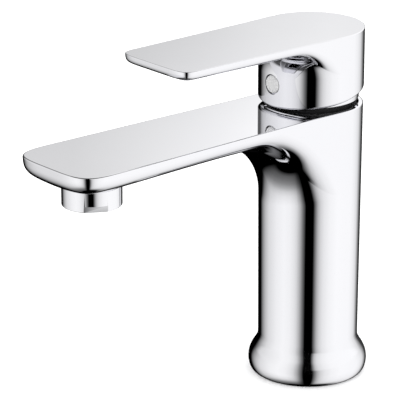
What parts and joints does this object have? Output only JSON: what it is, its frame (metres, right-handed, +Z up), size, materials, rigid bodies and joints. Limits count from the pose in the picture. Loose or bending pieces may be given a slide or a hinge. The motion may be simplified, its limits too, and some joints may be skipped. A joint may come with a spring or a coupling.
{
  "type": "bathroom mixer faucet",
  "caption": "Chrome deck-mounted basin mixer with a flat paddle spout over a round column and a matching lever on top that lifts for flow and swings for temperature.",
  "frame": {"origin": "where the axis of the column and its fixing stud meets the deck, at the centre of the foot's underside", "axes": "+Z up along the column; -Y towards the spout's tip; +X to the right of someone who looks along +Y at the spout's tip, the cold side"},
  "size_m": [0.0532, 0.172, 0.1598],
  "materials": {
    "chrome_plate": "polished mirror chrome plate on cast brass",
    "index_plug": "pale grey gloss plastic",
    "stainless_steel": "stainless steel",
    "brass": "machined brass",
    "grey_plastic": "moulded engineering plastic",
    "red_plastic": "moulded plastic",
    "black_plastic": "moulded plastic",
    "white_plastic": "moulded acetal",
    "ceramic": "lapped alumina ceramic",
    "rubber": "black nitrile rubber"
  },
  "bodies": {
    "body": {"body_casting": "chrome_plate", "aerator_housing": "chrome_plate", "aerator_insert": "white_plastic", "aerator_flow_grid": "white_plastic", "aerator_gasket": "rubber", "base_seal": "rubber", "cartridge_lock_nut": "brass", "dust_sleeve": "black_plastic", "cartridge_housing": "grey_plastic", "temperature_limit_ring": "red_plastic", "fixed_ceramic_disc": "ceramic", "cartridge_base": "grey_plastic", "hot_port_seal": "rubber", "cold_port_seal": "rubber", "outlet_port_seal": "rubber"},
    "swivel": {"stem_guide": "white_plastic", "stem_pivot_pin": "stainless_steel", "guide_o_ring": "rubber"},
    "lever": {"lever_handle": "chrome_plate", "index_plug": "index_plug", "handle_grub_screw": "stainless_steel", "cartridge_stem": "stainless_steel"},
    "disc": {"disc_carrier": "white_plastic", "moving_ceramic_disc": "ceramic"}
  },
  "joints": [
    {"name": "temperature_swivel", "type": "hinge", "parent": "body", "child": "swivel", "pos_m": [0, 0, 0.131], "axis": [0, 0, 1], "range_deg": [-50, 50]},
    {"name": "lever_lift", "type": "hinge", "parent": "swivel", "child": "lever", "pos_m": [0, 0, 0.131], "axis": [-1, 0, 0], "range_deg": [0, 20]},
    {"name": "disc_slide", "type": "slide", "parent": "swivel", "child": "disc", "axis": [0, -1, 0], "range_m": [0, 0.0042]}
  ],
  "couplings": [
    {"joint": "disc_slide", "follows": "lever_lift", "m_per_rad": 0.011}
  ]
}
